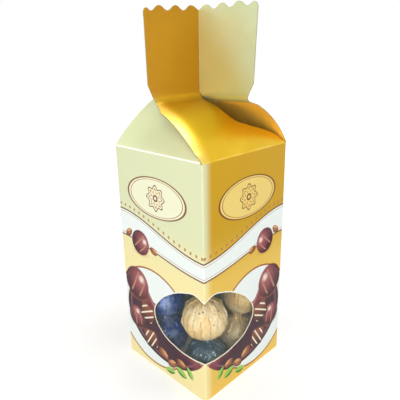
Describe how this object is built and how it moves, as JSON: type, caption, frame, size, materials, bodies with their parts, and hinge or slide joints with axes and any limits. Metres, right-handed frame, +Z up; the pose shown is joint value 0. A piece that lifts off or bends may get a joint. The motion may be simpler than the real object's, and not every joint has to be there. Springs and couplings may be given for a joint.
{
  "type": "praline gift carton",
  "caption": "Tall square board gift carton with a bowed pinwheel roof, scalloped collar tabs, a heart-shaped corner window and foil-wrapped pralines inside.",
  "frame": {"origin": "middle of the base, on the surface the carton stands on", "axes": "+Z up through the collar, -Y out of the front wall, -X out of the left wall; the window is on the corner between them"},
  "size_m": [0.0744, 0.0782, 0.2133],
  "materials": {
    "printed_board": "gloss",
    "plain_board": "matte",
    "clear_film": "gloss",
    "foil_gold": "satin",
    "foil_blue": "satin",
    "foil_green": "satin",
    "chocolate": "satin"
  },
  "bodies": {
    "carton": {"wall_front": "printed_board", "wall_right": "printed_board", "wall_back": "printed_board", "wall_left": "printed_board", "glue_seam_flap": "plain_board", "base_outer_panel": "plain_board", "base_inner_panel": "plain_board", "base_dust_flap_left": "plain_board", "base_dust_flap_right": "plain_board", "window_film": "clear_film", "praline_01": "chocolate", "wrapper_01": "foil_green", "praline_02": "chocolate", "wrapper_02": "foil_green", "praline_03": "chocolate", "wrapper_03": "foil_blue", "praline_04": "chocolate", "wrapper_04": "foil_gold", "praline_05": "chocolate", "wrapper_05": "foil_gold", "praline_06": "chocolate", "wrapper_06": "foil_gold", "praline_07": "chocolate", "wrapper_07": "foil_blue", "praline_08": "chocolate", "wrapper_08": "foil_green", "praline_09": "chocolate", "wrapper_09": "foil_blue", "praline_10": "chocolate", "wrapper_10": "foil_green", "praline_11": "chocolate", "wrapper_11": "foil_gold", "praline_12": "chocolate", "wrapper_12": "foil_blue"},
    "front_flap": {"roof_flap_front": "printed_board"},
    "right_flap": {"roof_flap_right": "printed_board"},
    "back_flap": {"roof_flap_back": "printed_board"},
    "left_flap": {"roof_flap_left": "printed_board"},
    "front_tab": {"collar_tab_front": "printed_board"},
    "right_tab": {"collar_tab_right": "printed_board"},
    "back_tab": {"collar_tab_back": "printed_board"},
    "left_tab": {"collar_tab_left": "printed_board"}
  },
  "joints": [
    {"name": "front_flap_hinge", "type": "hinge", "parent": "carton", "child": "front_flap", "pos_m": [0, -0.035, 0.14], "axis": [1, 0, 0], "range_deg": [0, 120]},
    {"name": "right_flap_hinge", "type": "hinge", "parent": "carton", "child": "right_flap", "pos_m": [0.035, 0, 0.14], "axis": [0, 1, 0], "range_deg": [0, 120]},
    {"name": "back_flap_hinge", "type": "hinge", "parent": "carton", "child": "back_flap", "pos_m": [0, 0.035, 0.14], "axis": [-1, 0, 0], "range_deg": [0, 120]},
    {"name": "left_flap_hinge", "type": "hinge", "parent": "carton", "child": "left_flap", "pos_m": [-0.035, 0, 0.14], "axis": [0, -1, 0], "range_deg": [0, 120]},
    {"name": "front_tab_hinge", "type": "hinge", "parent": "front_flap", "child": "front_tab", "pos_m": [-0.0175, -0.00025, 0.1663], "axis": [1, 0, 0], "range_deg": [0, 90]},
    {"name": "right_tab_hinge", "type": "hinge", "parent": "right_flap", "child": "right_tab", "pos_m": [0.00025, -0.0175, 0.1663], "axis": [0, 1, 0], "range_deg": [0, 90]},
    {"name": "back_tab_hinge", "type": "hinge", "parent": "back_flap", "child": "back_tab", "pos_m": [0.0175, 0.00025, 0.1663], "axis": [-1, 0, 0], "range_deg": [0, 90]},
    {"name": "left_tab_hinge", "type": "hinge", "parent": "left_flap", "child": "left_tab", "pos_m": [-0.00025, 0.0175, 0.1663], "axis": [0, -1, 0], "range_deg": [0, 90]}
  ],
  "couplings": [
    {"joint": "right_flap_hinge", "follows": "front_flap_hinge", "ratio": 1},
    {"joint": "back_flap_hinge", "follows": "front_flap_hinge", "ratio": 1},
    {"joint": "left_flap_hinge", "follows": "front_flap_hinge", "ratio": 1}
  ]
}
